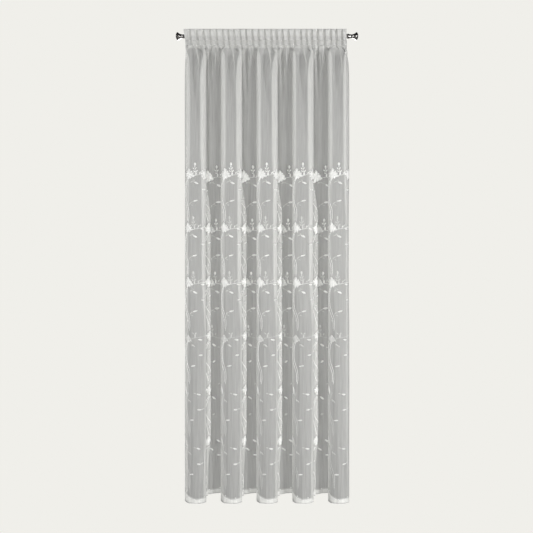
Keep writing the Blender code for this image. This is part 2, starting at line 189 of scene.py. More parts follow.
def rounded(points, steps=STEPS):
    first = 2 * points[0] - points[1]
    last = 2 * points[-1] - points[-2]
    p = np.vstack([first, points, last])
    t = np.linspace(0, 1, steps, endpoint=False)[:, None]
    out = []
    for i in range(1, len(p) - 2):
        a, b, c, d = p[i - 1], p[i], p[i + 1], p[i + 2]
        out.append(0.5 * (2 * b + (c - a) * t + (2 * a - 5 * b + 4 * c - d) * t**2 + (3 * b - a - 3 * c + d) * t**3))
    out.append(p[-2][None, :])
    return np.vstack(out)


def along_share(curve):
    steps = np.hypot(np.diff(curve[:, 0]), np.diff(curve[:, 1]))
    along = np.concatenate([[0], np.cumsum(steps)])
    return along / along[-1], along[-1]


def station_share(along, number, name):
    """The share of the cloth's width at a station of a fold."""
    return float(along[min(len(along) - 1, (len(LEFT_END) + number * len(FOLD) + STATION[name]) * STEPS)])


HEAD_CURVE = rounded(fold_stations(TAPE_BOTTOM_Z))
HEAD_ALONG, _ = along_share(HEAD_CURVE)


def head_map():
    """Shares of the cloth and where they lie across the heading; each fold's front sits over its own pleats."""
    shares, places = [0.0], [HEAD_TAPE_LEFT]
    for number, (edge, _) in enumerate(EDGES):
        last = number == len(EDGES) - 1
        for name, offset in (("left edge", HEAD_LEFT_EDGE), ("right edge", HEAD_RIGHT_EDGE - (12.0 if last else 0.0))):
            shares.append(station_share(HEAD_ALONG, number, name))
            places.append((edge + offset / 1000) * (1 + FAN * (HEAD_Y - FAN_Y)))
    return np.array(shares + [1.0]), np.array(places + [HEAD_TAPE_RIGHT])


HEAD_SHARES, HEAD_PLACES = head_map()
GROOVES = HEAD_TAPE_LEFT + np.cumsum([w for row in PLEAT_WIDTHS for w in row]) / 1000


def pleat_phase(head_x):
    """Whole numbers at the grooves between the pencil pleats."""
    count = len(GROOVES)
    x = np.concatenate([[HEAD_TAPE_LEFT], GROOVES[:-1], [HEAD_TAPE_RIGHT]])
    n = np.concatenate([[0.30], np.arange(1, count), [count - 0.12]])
    return np.interp(head_x, x, n)


def pleat_shape(phase):
    """0 in the grooves, 1 on the broad backs of the pleats."""
    return (0.5 - 0.5 * np.cos(2 * math.pi * phase)) ** 0.62


END_RATE = 0.048         # the cloth's two side edges open slowest


def opening_rate(s, along):
    """How far below the tape the folds have opened: soon at the edges of the fronts, later at their necks."""
    shares, rates = [0.0], [END_RATE]
    for number in range(len(EDGES)):
        last = number == len(EDGES) - 1
        for name, rate in (("left neck", 0.018), ("left edge", 0.012), ("front, middle", 0.030), ("right edge", 0.024)):
            outermost = (number == 0 and name.startswith("left")) or (last and name == "right edge")
            shares.append(station_share(along, number, name))
            rates.append(END_RATE if outermost else rate)
        if not last:
            for name, rate in (("right neck", 0.050), ("second tuck", 0.048), ("back panel", 0.040)):
                shares.append(station_share(along, number, name))
                rates.append(rate)
    return np.interp(s, shares + [1.0], rates + [0.026])


def depth_rate(s, along):
    """How far below the tape the cloth has come to its depth: sooner behind than in front."""
    shares, rates = [0.0], [0.042]
    for number in range(len(EDGES)):
        last = number == len(EDGES) - 1
        for name, rate in (("left neck", 0.042), ("left edge", 0.080), ("front, middle", 0.110), ("right edge", 0.080)):
            shares.append(station_share(along, number, name))
            rates.append(rate)
        if not last:
            for name, rate in (("right neck", 0.042), ("back panel", 0.042)):
                shares.append(station_share(along, number, name))
                rates.append(rate)
    return np.interp(s, shares + [1.0], rates + [0.042])


def pleat_reach(s, along):
    """How far below the tape the pencil pleats run out: soon in the walls of the folds, later in front and behind."""
    shares, reaches = [0.0], [0.016]
    for number in range(len(EDGES)):
        last = number == len(EDGES) - 1
        for name, reach in (
            ("left neck", 0.018), ("left wall, back", 0.012), ("left wall, front", 0.014), ("left edge", 0.030),
            ("front, left", 0.028), ("front, right", 0.028), ("right edge", 0.028),
        ):
            shares.append(station_share(along, number, name))
            reaches.append(reach)
        if not last:
            for name, reach in (
                ("right wall, front", 0.014), ("right wall, back", 0.012), ("right neck", 0.014), ("second edge", 0.016),
                ("second tuck", 0.018), ("back panel starts", 0.026), ("back panel", 0.028),
            ):
                shares.append(station_share(along, number, name))
                reaches.append(reach)
    return np.interp(s, shares + [1.0], reaches + [0.014])


# Creases that run down from the heading in every fold: the side they lie on, then their x in mm from the
# fold's left edge at the tape and at 50, 130, 260 and 430 mm below it, how far down they reach, their
# half-width, their height towards the front and how far they lean to the right, all in mm.
CREASES = (
    # name, side, at tape, at 50, at 130, at 260, at 430, reach, half-width, height, lean
    ("long trough",    "front", 36, 36, 34,  47,  60, 560, 8.6, -15.5,  0),
    ("left ridge",     "front", 18, 18, 18,  18,  18,  60, 4.0,  3.0, -8),
    ("hooked ridge",   "front", 44, 50, 62,  74,  90, 200, 4.2,  9.0,  20),
    ("wedge",          "front", 76, 78, 88,  95,  95,  80, 4.0, -5.0,   0),
    ("edge ridge",     "front", 92, 98, 100, 100, 100, 70, 4.0,  4.0, -8),
    ("first ridge",    "back", 115, 113, 113, 117, 122, 280, 2.8,  6.0,  9),
    ("first trough",   "back", 125, 125, 129, 135, 137, 300, 4.2, -6.0,   0),
    ("second ridge",   "back", 134, 134, 138, 145, 150, 190, 3.0,  7.5, 15),
    ("third ridge",    "back", 148, 147, 153, 165, 172, 170, 3.2,  9.0, 12),
    ("deep trough",    "back", 168, 169, 174, 180, 180, 230, 4.0, -9.0,   0),
)
# How strongly each fold shows them, fold by fold.
CREASE_STRENGTH = (1.0, 0.92, 1.05, 0.96, 0.9)


def creases(z, s, x, y, along_here):
    """How far the creases stand out of the cloth and lean along it, on its line at height z."""
    below = TAPE_BOTTOM_Z - z
    out, leaning = np.zeros_like(s), np.zeros_like(s)
    if below < -0.01:
        return out, leaning
    arc = np.concatenate([[0], np.cumsum(np.hypot(np.diff(x), np.diff(y)))])
    view = x / (1 + FAN * (y - FAN_Y))
    for number, (edge, _) in enumerate(EDGES):
        last = number == len(EDGES) - 1
        spans = {"front": (station_share(along_here, number, "left edge"), station_share(along_here, number, "right edge"))}
        if not last:
            spans["back"] = (
                station_share(along_here, number, "right neck"), station_share(along_here, number + 1, "left neck")
            )
        for k, (_, side, at_tape, at_50, at_130, at_260, at_430, reach, half, height, lean) in enumerate(CREASES):
            if side not in spans:
                continue
            fade = 1 - smooth((below * 1000 - 0.35 * reach) / (0.65 * reach))
            if fade <= 0:
                continue
            sway = 1.5 * math.sin(2.3 * number + 1.7 * k)
            path = (at_tape, at_50, at_130, at_260, at_430)
            want = edge + (np.interp(below * 1000, (0, 50, 130, 260, 430), path) + sway) / 1000
            low, high = spans[side]
            inside = np.nonzero((s >= low - 0.012) & (s <= high + 0.012))[0]
            line = np.maximum.accumulate(view[inside])
            place = np.interp(want, line, arc[inside])
            start = smooth((below + 0.010) / (0.062 if k == 0 else 0.022))
            spread = half / 1000 * (1 + 2.0 * below)
            bump = np.exp(-0.5 * ((arc - place) / spread) ** 2)
            shown = CREASE_STRENGTH[number] * fade * start * bump / 1000
            out += height * shown
            leaning += lean * shown
    return out, leaning


def cloth_line(z, shares):
    s = np.asarray(shares, dtype=float)
    up = float(smooth((z - TAPE_BOTTOM_Z) / (TOP_Z - TAPE_BOTTOM_Z)))
    below = max(0.0, TAPE_BOTTOM_Z - z)
    at_tape = np.interp(s, HEAD_SHARES, HEAD_PLACES)
    phase = pleat_phase(at_tape)
    lean = (HEAD_TOP_LEFT - HEAD_TAPE_LEFT) * (1 - s) + (HEAD_TOP_RIGHT - HEAD_TAPE_RIGHT) * s
    head_x = at_tape + lean * up

    curve = rounded(fold_stations(min(z, TAPE_BOTTOM_Z)))
    along, _ = along_share(curve)
    fold_x, fold_y, drop = (np.interp(s, along, curve[:, k]) for k in range(3))
    rate = opening_rate(s, along)
    opened = 1 - np.exp(-((below / rate) ** 1.3))
    deeper = 1 - np.exp(-((below / depth_rate(s, along)) ** 1.25))
    x = head_x * (1 - opened) + fold_x * opened
    y = HEAD_Y * (1 - deeper) + fold_y * deeper

    # Out of the cloth towards the front, and along it to the right.
    tx, ty = np.gradient(x, s), np.gradient(y, s)
    size = np.maximum(np.hypot(tx, ty), 1e-9)
    tx, ty = tx / size, ty / size
    fade = np.exp(-((below / pleat_reach(s, along)) ** 1.2))
    sewn = sum(math.exp(-(((z - row) / 0.0035) ** 2)) for row in STITCH_ROWS)
    swell = 1 + 0.30 * math.exp(-(((below - 0.013) / 0.012) ** 2)) if below > 0 else 1.0
    depth = PLEAT_DEPTH * fade * swell * (1 - 0.42 * sewn) * (1 - 0.50 * float(smooth((z - 0.008) / 0.019)))
    out = (pleat_shape(phase) - 0.5) * depth
    standing, leaning = creases(z, s, x, y, along)
    out += standing
    slubs = 0.0005 * np.sin(2 * math.pi * 57 * s + 3 * z) + 0.0004 * np.sin(2 * math.pi * 91 * s - 4 * z + 1.0)
    out += slubs * min(1.0, below / 0.05)
    side = PLEAT_OVERHANG * fade * np.sin(4 * math.pi * phase) * smooth(s / 0.012) * smooth((1 - s) / 0.012)
    side += leaning
    x = x + ty * out + tx * side
    y = y - tx * out + ty * side
    near_hem = float(smooth((-2.30 - z) / 0.17))
    edge = TOP_EDGE_RISE * (0.5 - pleat_shape(phase)) * float(smooth((z - 0.008) / 0.021))
    return np.column_stack([x, y, z - drop * near_hem + edge])


# A fine grid of the cloth, which every sewn or embroidered thing is laid on.
GRID_COLUMNS = 640


def grid_columns(count):
    """Shares of the width, closest together in the fronts and in the back panels, where the creases are."""
    shares, weights = [0.0], [0.8]
    for number in range(len(EDGES)):
        last = number == len(EDGES) - 1
        places = [("back panel ends", 2.0), ("left neck", 0.8), ("left wall, front", 0.8), ("left edge", 1.5), ("right edge", 1.5)]
        if not last:
            places += [("right wall, front", 0.8), ("second tuck", 0.8), ("back panel starts", 2.0)]
        for name, weight in places:
            share = station_share(HEAD_ALONG, number, name)
            if share > shares[-1]:
                shares.append(share)
                weights.append(0.8 if number == 0 and name == "back panel ends" else weight)
    fine = np.linspace(0, 1, 4001)
    close = np.interp(fine, shares + [1.0], weights + [0.8])
    summed = np.concatenate([[0], np.cumsum((close[1:] + close[:-1]) / 2)])
    return np.interp(np.linspace(0, summed[-1], count), summed, fine)


GRID_S = grid_columns(GRID_COLUMNS)
GRID_Z = np.concatenate([
    np.linspace(TOP_Z, TAPE_BOTTOM_Z, 25),
    np.linspace(TAPE_BOTTOM_Z, -0.20, 28)[1:],
    np.linspace(-0.20, -0.46, 27)[1:],
    np.linspace(-0.46, -2.44, 44)[1:],
    np.linspace(-2.44, HEM_Z, 5)[1:],
])
GRID = np.array([cloth_line(z, GRID_S) for z in GRID_Z])


def grid_normals(grid):
    """Unit normals that point out of the cloth's back."""
    du = np.gradient(grid, axis=1)
    dv = np.gradient(grid, axis=0)
    normal = np.cross(du, dv)
    return normal / np.linalg.norm(normal, axis=2)[:, :, None]


NORMALS = grid_normals(GRID)
WIDTH = float(np.mean([along_share(rounded(fold_stations(z)))[1] for z in (-0.5, -1.3, -2.0, -2.4)]))


def on_cloth(s, z, lift=0.0):
    """Points on the cloth at shares s and heights z, lifted towards the front by lift."""
    s, z = np.atleast_1d(np.asarray(s, float)), np.atleast_1d(np.asarray(z, float))
    i = np.interp(s, GRID_S, np.arange(len(GRID_S)))
    j = np.interp(-z, -GRID_Z, np.arange(len(GRID_Z)))
    i0, j0 = np.minimum(i.astype(int), len(GRID_S) - 2), np.minimum(j.astype(int), len(GRID_Z) - 2)
    a, b = (i - i0)[:, None], (j - j0)[:, None]

    def mixed(g):
        return (
            g[j0, i0] * (1 - a) * (1 - b) + g[j0, i0 + 1] * a * (1 - b) + g[j0 + 1, i0] * (1 - a) * b + g[j0 + 1, i0 + 1] * a * b
        )

    n = mixed(NORMALS)
    n /= np.linalg.norm(n, axis=1)[:, None]
    return mixed(GRID) - n * np.reshape(lift, (-1, 1))


# ---------------------------------------------------------------- meshes
def mesh_object(name, verts, faces, smooth_faces=True, uv=None):
    mesh = bpy.data.meshes.new(name)
    mesh.from_pydata([tuple(map(float, v)) for v in verts], [], faces)
    if smooth_faces:
        mesh.polygons.foreach_set("use_smooth", [True] * len(mesh.polygons))
    if uv is not None:
        layer = mesh.uv_layers.new(name="cloth")
        loops = np.empty(len(mesh.loops), dtype=np.int32)
        mesh.loops.foreach_get("vertex_index", loops)
        layer.data.foreach_set("uv", np.asarray(uv, dtype=np.float32)[loops].ravel())
    mesh.update()
    thing = bpy.data.objects.new(name, mesh)
    bpy.context.scene.collection.objects.link(thing)
    return thing


def grid_object(name, points, uv):
    high, wide = points.shape[:2]
    faces = [
        (i * wide + j, (i + 1) * wide + j, (i + 1) * wide + j + 1, i * wide + j + 1)
        for i in range(high - 1)
        for j in range(wide - 1)
    ]
    return mesh_object(name, points.reshape(-1, 3), faces, uv=uv.reshape(-1, 2))


# How deep the bottom hem is turned up at the stations of a fold, in mm: deepest where the front turns back.
HEM_DEPTHS = (
    # station, depth
    ("back panel ends",   20),
    ("left wall, front",  26),
    ("left edge",         46),
    ("left shoulder",     44),
    ("front, left",       34),
    ("front, middle",     17),
    ("front, right",      22),
    ("right edge",        22),
    ("right wall, front", 21),
    ("back panel starts", 20),
)
HEM_ALONG, _ = along_share(rounded(fold_stations(HEM_Z)))


def hem_depth(s):
    """How deep the hem is turned up at shares s of the width."""
    shares, depths = [0.0], [0.022]
    for number in range(len(EDGES)):
        for name, depth in HEM_DEPTHS:
            shares.append(station_share(HEM_ALONG, number, name))
            depths.append(depth / 1000)
    return np.interp(s, shares, depths)


def along_seam(z, s):
    """Heights near the hem, moved so that the seam rises and falls with the hem's depth."""
    moved = np.interp(z, (HEM_Z, HEM_Z + HEM_DEEP, HEM_Z + 4.5 * HEM_DEEP), (0.0, 1.0, 0.0))
    return z + moved * (hem_depth(s) - HEM_DEEP)


def build_panel():
    """The voile with its frill turned over at the top, its side hems and its double bottom hem, in one sheet."""
    # Each row is a height and how far behind the outer layer it lies, in layers.
    rows = []
    turned = np.linspace(TOP_Z - HEAD_TURN, TOP_Z - 0.002, 12)
    rows += [(z, 2.0) for z in turned] + [(TOP_Z - 0.0003, 1.4)]
    rows += [(z, 0.0) for z in GRID_Z]
    hem_top = HEM_Z + HEM_DEEP
    rows += [(HEM_Z + 0.0003, 0.7)] + [(z, 1.0) for z in np.linspace(HEM_Z + 0.002, hem_top, 4)]
    rows += [(hem_top + 0.0002, 1.6)] + [(z, 2.0) for z in np.linspace(hem_top - 0.001, HEM_Z + 0.002, 4)]
    side = np.array([SIDE_HEM, SIDE_HEM * 0.5, 0.0015]) / WIDTH
    shares = np.concatenate([side, GRID_S, 1 - side[::-1]])
    layers = np.concatenate([[1.0, 1.0, 0.8], np.zeros(len(GRID_S)), [0.8, 1.0, 1.0]])
    points, uv = [], []
    flat_v = 0.0
    before = None
    for z, behind in rows:
        lift = -(behind + layers * 0.9) * LAYER
        line = on_cloth(shares, np.full(len(shares), z), lift=lift)
        if before is not None:
            flat_v += float(np.median(np.linalg.norm(line - before, axis=1)))
        before = line
        points.append(on_cloth(shares, along_seam(z, shares), lift=lift))
        uv.append(np.column_stack([
            np.concatenate([-side * WIDTH, GRID_S * WIDTH, WIDTH + side[::-1] * WIDTH]), np.full(len(shares), -flat_v)
        ]))
    panel = grid_object("voile_panel", np.array(points), np.array(uv))
    return panel, (WIDTH + 2 * SIDE_HEM, flat_v)


def tape_line(z_y, across, layer=0.0):
    z, y = z_y
    ripple = TAPE_RIPPLE * (0.5 - 0.5 * np.cos(2 * math.pi * len(GROOVES) * across)) - TAPE_RIPPLE / 2
    return np.column_stack([-TAPE_HALF + 2 * TAPE_HALF * across, y + ripple + layer, np.full(len(across), z)])


def tape_profile(count):
    ends = np.array(TAPE_END)
    along = np.concatenate([[0], np.cumsum(np.hypot(np.diff(ends[:, 0]), np.diff(ends[:, 1])))])
    want = np.linspace(0, along[-1], count)
    smooth_curve = rounded(np.column_stack([ends, np.zeros(len(ends))]))
    a, total = along_share(smooth_curve)
    return [(np.interp(w / along[-1], a, smooth_curve[:, 0]), np.interp(w / along[-1], a, smooth_curve[:, 1])) for w in want], total


def build_tape():
    across = np.linspace(0, 1, len(GROOVES) * 10 + 1)
    profile, total = tape_profile(26)
    points = np.array([tape_line(zy, across) for zy in profile])
    uv = np.array([np.column_stack([across * 2 * TAPE_HALF, np.full(len(across), -total * k / (len(profile) - 1))]) for k in range(len(profile))])
    tape = grid_object("gathering_tape", points, uv)
    return tape, (2 * TAPE_HALF, total)


# ---------------------------------------------------------------- embroidery and stitches
ROW_Z = (-0.751, -1.033, -1.320, -1.601, -1.875, -2.149)
# One repeat is one fold wide and one row high. u is measured along the cloth to the right from the fold's left
# edge, w upwards from the row's height, in mm; tilt in degrees, anticlockwise from the right.
# The last column tells row by row whether the motif is worked solid (b), more openly (m), thinly (p) or not at
# all (.).
LEAVES = (
    # name, moves with, u, w, length, width, tilt, rows
    ("bud",               "none",   70,   54, 19, 12,   92, "bpp..."),
    ("bud sepal",         "none",   70,   41,  9,  5,   90, "bpp..."),
    ("sprig leaf",        "none",   64,   30, 14,  5,  125, "bpp..."),
    ("sprig leaf",        "none",   77,   32, 13,  4,   55, "bpp..."),
    ("sprig leaf",        "none",   66,   16, 15,  5,  140, "bppp.."),
    ("sprig leaf",        "none",   81,   17, 15,  7,   48, "bppp.."),
    ("foot leaf",         "none",   77,    3, 20,  8,   86, "bppp.."),
    ("garland leaf",      "none",   98,    8, 15,  6,   62, "bbp..."),
    ("garland leaf",      "none",  108,   15, 15,  6,   48, "bpp..."),
    ("side leaf",         "front", 120,    0, 24, 10,   -9, "bbbbbb"),
    ("leaf",              "upper",  80,  -45, 27, 11,  -25, "bbbp.."),
    ("twig leaf",         "none",   57,  -38, 14,  4,   25, "ppp..."),
    ("twig leaf",         "none",   68,  -32, 13,  4,  -32, "ppp..."),
    ("low side leaf",     "front", 123,  -80, 24,  9,    2, "bbbbbb"),
    ("low side leaf tip", "front", 142,  -78, 22,  8,    8, "....pp"),
    ("long leaf",         "front",  79, -139, 29,  8,   15, "bbbbbb"),
    ("twig leaf",         "front",  52, -151, 17,  4,   40, "ppp..."),
    ("twig leaf",         "front",  60, -162, 13,  4,  -20, "ppp..."),
    ("bud",               "back",  291,   43, 20, 13,   92, "bbbp.."),
    ("sprig leaf",        "back",  283,   24, 13,  6,  125, "bbpp.."),
    ("sprig leaf",        "back",  297,   24, 13,  6,   55, "bbpp.."),
    ("sprig leaf",        "back",  288,    9, 13,  5,  145, "bppp.."),
    ("foot leaf",         "back",  296,   -2, 21,  8,   88, "bbbp.."),
    ("garland leaf",      "back",  313,    3, 14,  7,   60, "bppp.."),
    ("twig leaf",         "back",  254,  -41, 13,  4,   28, "ppp..."),
    ("twig leaf",         "back",  272,  -42, 13,  4,  -25, "ppp..."),
    ("leaf",              "back",  304,  -57, 27, 12,  -25, "bbbbbb"),
    ("wall leaf",         "wall",  243,  -76, 22,  9,   24, "bbbp.."),
    ("wall leaf",         "wall",  224, -130, 16,  9,   15, "ppp..."),
    ("strip leaf",        "none",  133,    6, 24, 15,    5, "bp...."),
    ("drop petal",        "wall",  245,    3, 60, 28,   88, "...bbb"),
    ("edge petal",        "none",    6,   -4, 54, 13,   86, "....mm"),
    ("edge petal",        "none",   17,  -14, 46, 12,   99, "....mp"),
    ("fan leaf",          "none",   46,  -68, 17,  6,  -38, "....pp"),
    ("fan leaf",          "none",   36,  -64, 15,  5,  -72, "....pp"),
    ("garland leaf",      "front",  99,    3, 15,  6,   -8, "....pp"),
    ("garland leaf",      "none",  330,    4, 14,  6,   35, "....p."),
    ("garland leaf",      "none",  344,    9, 14,  6,   62, "....p."),
    ("long leaf",         "back",  302, -146, 30, 11,    8, "bbb..."),
    ("long leaf",         "back",  304, -146, 22, 10,   38, "...bp."),
    ("twig leaf",         "back",  277, -156, 17,  5,   27, "ppp..."),
    ("twig leaf",         "back",  263, -166, 14,  5,   62, "ppp..."),
    ("twig leaf",         "back",  288, -163, 13,  4,  -12, "ppp..."),
    ("late leaf",         "none",  326,  -32, 25, 11,  -30, ".....b"),
    ("late leaf",         "none",  322, -113, 25,  9,    0, ".....b"),
    ("late leaf",         "none",  327,  -73, 13,  8,    0, "...p.."),
    ("vine leaf",         "wall",  233, -197, 18,  8,   80, "pppppp"),
    ("vine leaf",         "wall",  243, -212, 13,  6,  110, "pppppp"),
    ("vine leaf",         "wall",  224,  -56, 15,  6,  112, "pppppp"),
    ("vine leaf",         "wall",  236, -108, 14,  6,   70, "pppppp"),
    ("vine leaf",         "none",   22,  -62, 13,  5,   60, "ppp..."),
    ("vine leaf",         "none",   30, -200, 14,  5,  104, "ppp..."),
)
# Petals of the blossoms, from each blossom's middle.
BLOSSOMS = (
    # name, u row by row, w row by row, sizes row by row, rows
    ("edge blossom",   (40, 40, 40, 34, 0, 0), (2, 2, 2, -16, 0, 0), (0.88, 0.80, 0.82, 0.62, 0, 0), "mmmp.."),
    ("strip blossom",  (128, 0, 0, 0, 0, 0), (0, 0, 0, 0, 0, 0), (0.85, 0, 0, 0, 0, 0), "m....."),
    ("wall blossom",   (264, 243, 240, 228, 228, 222), (-2, -2, -2, -12, -30, -32), (1.0, 0.92, 0.92, 0.84, 0.84, 0.76), "bbbmmm"),
    ("corner blossom", (0, 296, 292, 0, 0, 0), (0, -6, -6, 0, 0, 0), (0, 0.78, 0.78, 0, 0, 0), ".mm..."),
)
PETALS = (
    # direction, length, width
    (96, 36, 25), (50, 26, 21), (10, 28, 23), (-22, 38, 23), (-65, 28, 22), (-108, 34, 24), (-152, 28, 22), (170, 32, 24),
    (131, 28, 22),
)
STEMS = (
    # name, moves with, rows, points (u, w)
    ("sprig",     "none",  "bpp...", ((77, -6), (75, 12), (72, 28), (70, 44))),
    ("garland",   "none",  "bbbp..", ((46, -24), (55, -14), (66, -8), (80, -5), (104, -1), (122, 2), (150, 2), (190, -4), (218, -12))),
    ("sprig",     "back",  "bbbp..", ((297, -12), (295, 6), (291, 22), (289, 34))),
    ("garland",   "back",  "bbbp..", ((238, -34), (248, -26), (259, -20), (283, -13), (301, -11), (322, -15), (352, -19), (396, -12))),
    ("leaf twig", "upper", "ppp...", ((48, -44), (60, -37), (70, -38), (92, -50))),
    ("leaf twig", "back",  "ppp...", ((246, -46), (262, -41), (280, -46), (317, -61))),
    ("long twig", "front", "ppp...", ((42, -168), (52, -152), (66, -143), (92, -135))),
    ("long twig", "back",  "pppp..", ((255, -175), (268, -160), (286, -150), (315, -144))),
    ("vine",      "wall",  "bbbbbb", ((238, -32), (224, -58), (214, -90), (215, -126), (224, -150), (236, -166), (245, -190), (248, -220), (244, -248))),
    ("vine",      "wall",  "bbbbbb", ((232, -32), (214, -60), (205, -100), (209, -150), (220, -197), (233, -242))),
    ("vine",      "none",  "bbbbpp", ((36, -24), (26, -48), (21, -84), (23, -124), (33, -156), (43, -185), (45, -224), (40, -252))),
    ("edge vine", "none",  "...bbb", ((6, -30), (2, -70), (1, -120), (2, -170), (4, -215), (5, -250))),
    ("vine",      "none",  "bbbbpp", ((30, -24), (17, -50), (11, -88), (12, -132), (25, -166), (36, -200), (36, -242))),
)
# How far each group of motifs lies from its place in the repeat, row by row, in mm.
SHIFTS = {
    "none":  ((0, 0),) * 6,
    "front": ((0, 0), (0, -4), (0, -8), (-14, -15), (-22, -26), (-22, -35)),
    "upper": ((0, 0), (0, 2), (0, -4), (-14, -2), (-22, -6), (-26, -10)),
    "back":  ((26, 6), (38, 2), (28, 2), (-4, -6), (-4, -18), (-22, -26)),
    "wall":  ((-8, 0), (0, 0), (-3, 0), (-16, -12), (-11, -30), (-20, -32)),
}
HEM_DOT_RISE = 7.0       # of the dots above the hem's seam, in mm
LEAF_RISE, LEAF_SINK = 0.0009, 0.0006
STEM_WIDTH = 0.0024
STITCH, STITCH_STEP, STITCH_WIDTH = 0.0028, 0.0045, 0.0007


class Thread:
    """Closed little bodies laid on the cloth, joined in one mesh."""

    def __init__(self):
        self.s, self.z, self.lift, self.uv, self.faces = [], [], [], [], []

    def add(self, s, z, lift, uv, faces):
        start = len(self.s)
        self.s += list(s)
        self.z += list(z)
        self.lift += list(lift)
        self.uv += [tuple(p) for p in uv]
        self.faces += [tuple(start + i for i in face) for face in faces]

    def build(self, name):
        return mesh_object(name, on_cloth(self.s, self.z, np.array(self.lift)), self.faces, uv=np.array(self.uv))


def inside_cloth(s):
    return np.min(s) > 0.004 and np.max(s) < 0.996


def add_leaf(thread, place, u, w, length, width, tilt, stations=6, rise=LEAF_RISE):
    """A lens of satin stitch from tip to tip, standing a little out of both faces of the cloth."""
    turn = math.radians(tilt)
    along = np.arange(1, stations) / stations
    half = width / 2 * np.sin(math.pi * along) ** 0.6
    centre = (along - 0.5) * length
    # Round each ring: one side, front ridge, other side, back ridge.
    across = np.column_stack([-half, np.zeros_like(half), half, np.zeros_like(half)])
    ahead = np.repeat(centre[:, None], 4, axis=1)
    lift = np.tile([0.00015, rise, 0.00015, -LEAF_SINK], (len(along), 1))
    a = np.concatenate([[-length / 2], ahead.ravel(), [length / 2]])
    c = np.concatenate([[0.0], across.ravel(), [0.0]])
    lift = np.concatenate([[0.00015], lift.ravel(), [0.00015]])
    s, z = place(u + a * math.cos(turn) - c * math.sin(turn), w + a * math.sin(turn) + c * math.cos(turn))
    if not inside_cloth(s):
        return
    faces = []
    rings = len(along)
    for k in range(4):
        n = (k + 1) % 4
        faces.append((0, 1 + n, 1 + k))
        for r in range(rings - 1):
            b = 1 + 4 * r
            faces.append((b + k, b + n, b + 4 + n, b + 4 + k))
        last = 1 + 4 * (rings - 1)
        faces.append((last + k, last + n, 1 + 4 * rings))
    thread.add(s, z, lift, np.column_stack([a, c]) / 1000, faces)


def add_stem(thread, place, points, width=STEM_WIDTH):
    """A line of stem stitch, three-sided, sampled every 7 mm."""
    curve = rounded(np.array(points, dtype=float), 12)
    along, total = along_share(curve)
    count = max(3, int(total / 7) + 1)
    t = np.linspace(0, 1, count)
    u, w = np.interp(t, along, curve[:, 0]), np.interp(t, along, curve[:, 1])
    du, dw = np.gradient(u), np.gradient(w)
    size = np.hypot(du, dw)
    nu, nw = -dw / size, du / size
    half = width * 500
    us = np.column_stack([u - nu * half, u, u + nu * half]).ravel()
    ws = np.column_stack([w - nw * half, w, w + nw * half]).ravel()
    s, z = place(us, ws)
    keep = np.nonzero((s.reshape(-1, 3).min(axis=1) > 0.004) & (s.reshape(-1, 3).max(axis=1) < 0.996))[0]
    if len(keep) < 3:
        return
    s, z = s.reshape(-1, 3)[keep].ravel(), z.reshape(-1, 3)[keep].ravel()
    rings = len(keep)
    lift = np.tile([-0.0003, 0.0007, -0.0003], rings)
    faces = [(0, 1, 2), (3 * rings - 1, 3 * rings - 2, 3 * rings - 3)]
    for r in range(rings - 1):
        for k in range(3):
            n = (k + 1) % 3
            faces.append((3 * r + n, 3 * r + k, 3 * r + 3 + k, 3 * r + 3 + n))
    t = t[keep]
    uv = np.column_stack([np.repeat(t * total, 3), np.tile([0.0, 1.0, 2.0], rings)]) / 1000
    thread.add(s, z, lift, uv, faces)


def build_sprigs():
    leaves, open_work, stems, thin = Thread(), Thread(), Thread(), Thread()
    worked = {"b": leaves, "m": open_work, "p": thin}
    for row, row_z in enumerate(ROW_Z):
        curve = rounded(fold_stations(row_z))
        along, _ = along_share(curve)
        flat = float(np.sum(np.linalg.norm(np.diff(cloth_line(row_z, GRID_S), axis=0), axis=1))) * 1000
        for number in range(len(EDGES)):
            origin = station_share(along, number, "left edge")

            def place(u, w):
                return origin + np.asarray(u) / flat, row_z + np.asarray(w) / 1000

            for _, places, heights, sizes, rows in BLOSSOMS:
                if rows[row] == ".":
                    continue
                u, w, size = places[row], heights[row], sizes[row]
                thread = worked[rows[row]]
                for k, (direction, length, width) in enumerate(PETALS):
                    a = math.radians(direction)
                    reach = size * length * 0.54
                    add_leaf(
                        thread, place, u + reach * math.cos(a), w + reach * math.sin(a), size * length, size * width, direction,
                        rise=LEAF_RISE + 0.00025 * (k % 3),
                    )
                add_leaf(thread, place, u, w, 15 * size, 15 * size, 0, rise=0.0016)
            for _, group, u, w, length, width, tilt, rows in LEAVES:
                if rows[row] != ".":
                    du, dw = SHIFTS[group][row]
                    add_leaf(worked[rows[row]], place, u + du, w + dw, length, width, tilt)
            for _, group, rows, points in STEMS:
                if rows[row] != ".":
                    du, dw = SHIFTS[group][row]
                    add_stem(stems if rows[row] == "b" else thin, place, [(u + du, w + dw) for u, w in points])
    flat = WIDTH * 1000
    for k in range(int(flat / 62)):
        middle = (k + 0.5) / int(flat / 62)
        rise = 3.0 * math.sin(2.4 * k)

        def place(u, w):
            return middle + np.asarray(u) / flat, HEM_Z + hem_depth(middle) + (HEM_DOT_RISE + np.asarray(w)) / 1000

        add_leaf(leaves, place, 0, rise, 6, 5, 40, stations=5)
    return leaves.build("sprig_leaves"), open_work.build("sprig_blossoms"), stems.build("sprig_stems"), thin.build("sprig_outlines")


def add_stitch(thread, s, z, half_s, half_z, lift):
    """One stitch: a tiny closed bar on the cloth."""
    signs = [(-1, -1), (1, -1), (1, 1), (-1, 1)]
    ss = [s + a * half_s for a, _ in signs] * 2
    zz = [z + b * half_z for _, b in signs] * 2
    lifts = [lift] * 4 + [lift + 0.0005] * 4
    uv = [(a * STITCH / 2, b * STITCH_WIDTH / 2) for a, b in signs] * 2
    faces = [(0, 1, 2, 3), (7, 6, 5, 4), (0, 4, 5, 1), (1, 5, 6, 2), (2, 6, 7, 3), (3, 7, 4, 0)]
    thread.add(ss, zz, lifts, uv, faces)


